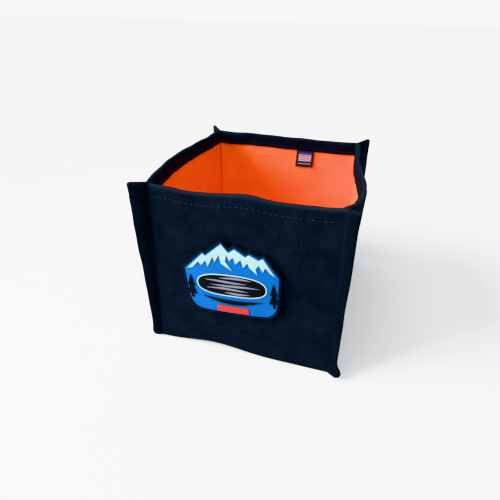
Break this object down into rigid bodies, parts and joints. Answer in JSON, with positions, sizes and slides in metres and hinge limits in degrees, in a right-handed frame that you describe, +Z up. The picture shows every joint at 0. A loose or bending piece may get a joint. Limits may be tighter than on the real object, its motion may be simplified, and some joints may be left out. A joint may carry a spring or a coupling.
{
  "type": "collapsible storage crate",
  "caption": "Small collapsible fabric storage crate with padded black walls, an orange lining, pinched corner seams and a moulded rubber badge; its sides and base fold inwards.",
  "frame": {"origin": "on the floor, under the middle of the crate", "axes": "+Z up; -Y is the front wall, which carries the badge; +X is the right-hand side wall when the front is faced"},
  "size_m": [0.198, 0.198, 0.165],
  "materials": {
    "black_canvas": "heavy black-navy twill canvas, matt with a slight sheen",
    "orange_lining": "coated orange lining cloth with a fine slanting rib, satin",
    "foam_stiffener": "hidden grey foam-board stiffener, matt",
    "hook_and_loop": "black hook-and-loop tape, napped",
    "badge_border": "black moulded soft PVC, satin",
    "badge_blue": "bright blue moulded soft PVC, satin",
    "badge_ice": "pale ice-blue moulded soft PVC, satin",
    "badge_black": "black moulded soft PVC, satin",
    "badge_silver": "silver-grey moulded soft PVC with a fine grain",
    "badge_red": "plain red moulded soft PVC, satin",
    "label_weave": "damask-woven label, matt"
  },
  "bodies": {
    "back_wall": {"back_outer_panel": "black_canvas", "back_foam": "foam_stiffener", "back_lining": "orange_lining", "back_hem": "black_canvas", "back_left_corner_seam": "black_canvas", "back_right_corner_seam": "black_canvas", "woven_label": "label_weave"},
    "left_rear": {"left_rear_outer_panel": "black_canvas", "left_rear_foam": "foam_stiffener", "left_rear_lining": "orange_lining", "left_rear_hem": "black_canvas"},
    "left_front": {"left_front_outer_panel": "black_canvas", "left_front_foam": "foam_stiffener", "left_front_lining": "orange_lining", "left_front_hem": "black_canvas"},
    "right_rear": {"right_rear_outer_panel": "black_canvas", "right_rear_foam": "foam_stiffener", "right_rear_lining": "orange_lining", "right_rear_hem": "black_canvas"},
    "right_front": {"right_front_outer_panel": "black_canvas", "right_front_foam": "foam_stiffener", "right_front_lining": "orange_lining", "right_front_hem": "black_canvas"},
    "front_wall": {"front_outer_panel": "black_canvas", "front_foam": "foam_stiffener", "front_lining": "orange_lining", "front_hem": "black_canvas", "front_left_corner_seam": "black_canvas", "badge_loop_panel": "hook_and_loop", "badge_hook_backing": "hook_and_loop", "badge_body": "badge_border", "badge_blue_field": "badge_blue", "badge_snow": "badge_ice", "badge_lake_rim": "badge_ice", "badge_lake": "badge_black", "badge_ripple_1": "badge_silver", "badge_ripple_2": "badge_silver", "badge_ripple_3": "badge_silver", "badge_ripple_4": "badge_silver", "badge_ripple_5": "badge_silver", "badge_left_pine": "badge_black", "badge_right_pine": "badge_black", "badge_canoe": "badge_black", "badge_red_bar": "badge_red"},
    "front_right_corner": {"front_right_corner_seam": "black_canvas"},
    "base_rear": {"base_rear_outer_panel": "black_canvas", "base_rear_foam": "foam_stiffener", "base_rear_lining": "orange_lining"},
    "base_front": {"base_front_outer_panel": "black_canvas", "base_front_foam": "foam_stiffener", "base_front_lining": "orange_lining"}
  },
  "joints": [
    {"name": "left_side_fold", "type": "hinge", "parent": "back_wall", "child": "left_rear", "pos_m": [-0.0827, 0.0827, 0], "axis": [0, 0, 1], "range_deg": [0, 86]},
    {"name": "left_crease", "type": "hinge", "parent": "left_rear", "child": "left_front", "pos_m": [-0.097, 0, 0], "axis": [0, 0, -1], "range_deg": [0, 172]},
    {"name": "front_left_corner_fold", "type": "hinge", "parent": "left_front", "child": "front_wall", "pos_m": [-0.0827, -0.0827, 0], "axis": [0, 0, 1], "range_deg": [0, 86]},
    {"name": "right_side_fold", "type": "hinge", "parent": "back_wall", "child": "right_rear", "pos_m": [0.0827, 0.0827, 0], "axis": [0, 0, -1], "range_deg": [0, 86]},
    {"name": "right_crease", "type": "hinge", "parent": "right_rear", "child": "right_front", "pos_m": [0.097, 0, 0], "axis": [0, 0, 1], "range_deg": [0, 172]},
    {"name": "front_right_corner_fold", "type": "hinge", "parent": "right_front", "child": "front_right_corner", "pos_m": [0.0827, -0.0827, 0], "axis": [0, 0, -1], "range_deg": [0, 86]},
    {"name": "base_rear_fold", "type": "hinge", "parent": "back_wall", "child": "base_rear", "pos_m": [0, 0.0827, 0.0063], "axis": [-1, 0, 0], "range_deg": [0, 86], "deforming": ["base_rear_outer_panel", "base_rear_foam", "base_rear_lining"]},
    {"name": "base_crease", "type": "hinge", "parent": "base_rear", "child": "base_front", "pos_m": [0, 0, -0.008], "axis": [1, 0, 0], "range_deg": [0, 172], "deforming": ["base_front_outer_panel", "base_front_foam", "base_front_lining"]}
  ],
  "couplings": [
    {"joint": "left_crease", "follows": "left_side_fold", "ratio": 2},
    {"joint": "front_left_corner_fold", "follows": "left_side_fold", "ratio": 1},
    {"joint": "right_side_fold", "follows": "left_side_fold", "ratio": 1},
    {"joint": "right_crease", "follows": "left_side_fold", "ratio": 2},
    {"joint": "front_right_corner_fold", "follows": "left_side_fold", "ratio": 1},
    {"joint": "base_rear_fold", "follows": "left_side_fold", "ratio": 1},
    {"joint": "base_crease", "follows": "left_side_fold", "ratio": 2}
  ]
}
